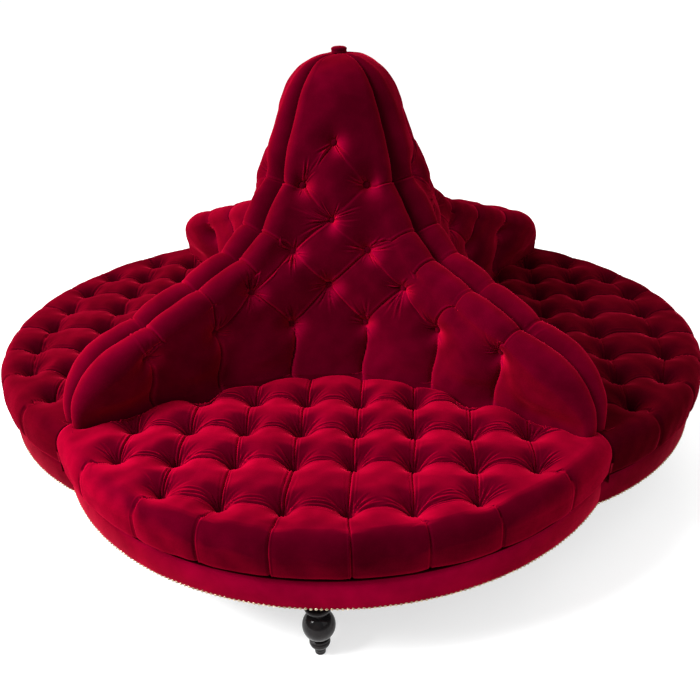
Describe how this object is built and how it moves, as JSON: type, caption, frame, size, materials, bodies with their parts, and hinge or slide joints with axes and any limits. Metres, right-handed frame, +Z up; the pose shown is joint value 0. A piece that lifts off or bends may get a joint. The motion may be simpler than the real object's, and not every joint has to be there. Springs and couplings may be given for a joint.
{
  "type": "round sofa",
  "caption": "Round velvet sofa: four lobed buttoned seats around a tall concave back whose rolled ridges sweep down to the notches, on turned legs.",
  "frame": {"origin": "on the floor at the centre of the sofa, under the middle of the back", "axes": "+Z up through the centre of the back; -Y towards the front seat, +X towards the right seat"},
  "size_m": [2.5054, 2.5054, 1.4132],
  "materials": {
    "crimson_velvet": "deep crimson cotton velvet, soft sheen",
    "velvet_piping": "piping in the same crimson velvet",
    "antique_nails": "aged upholstery nails, half bright",
    "black_lacquer": "black gloss lacquer on turned hardwood",
    "frame_timber": "bare planed beech",
    "plywood": "bare birch plywood",
    "black_cambric": "thin black lining cloth",
    "plated_steel": "zinc plated"
  },
  "bodies": {
    "root": {"seat_cushion_front": "crimson_velvet", "seat_cushion_right": "crimson_velvet", "seat_cushion_rear": "crimson_velvet", "seat_cushion_left": "crimson_velvet", "back_cushion_front": "crimson_velvet", "back_cushion_right": "crimson_velvet", "back_cushion_rear": "crimson_velvet", "back_cushion_left": "crimson_velvet", "border_band_front": "crimson_velvet", "border_band_right": "crimson_velvet", "border_band_rear": "crimson_velvet", "border_band_left": "crimson_velvet", "seam_welt_front": "velvet_piping", "seam_welt_right": "velvet_piping", "seam_welt_rear": "velvet_piping", "seam_welt_left": "velvet_piping", "nail_strip_front": "antique_nails", "nail_strip_right": "antique_nails", "nail_strip_rear": "antique_nails", "nail_strip_left": "antique_nails", "seat_deck_front": "plywood", "seat_deck_right": "plywood", "seat_deck_rear": "plywood", "seat_deck_left": "plywood", "seat_frame_front": "frame_timber", "seat_frame_right": "frame_timber", "seat_frame_rear": "frame_timber", "seat_frame_left": "frame_timber", "dust_cover_front": "black_cambric", "dust_cover_right": "black_cambric", "dust_cover_rear": "black_cambric", "dust_cover_left": "black_cambric", "back_board_front": "plywood", "back_board_right": "plywood", "back_board_rear": "plywood", "back_board_left": "plywood", "leg_front": "black_lacquer", "leg_right": "black_lacquer", "leg_rear": "black_lacquer", "leg_left": "black_lacquer", "hanger_bolt_front": "plated_steel", "hanger_bolt_right": "plated_steel", "hanger_bolt_rear": "plated_steel", "hanger_bolt_left": "plated_steel", "inner_foot_front": "frame_timber", "inner_foot_right": "frame_timber", "inner_foot_rear": "frame_timber", "inner_foot_left": "frame_timber", "wing_rib_front": "plywood", "wing_rib_right": "plywood", "wing_rib_rear": "plywood", "wing_rib_left": "plywood", "centre_post": "frame_timber", "top_cap": "crimson_velvet", "cap_stud": "frame_timber"}
  },
  "joints": []
}
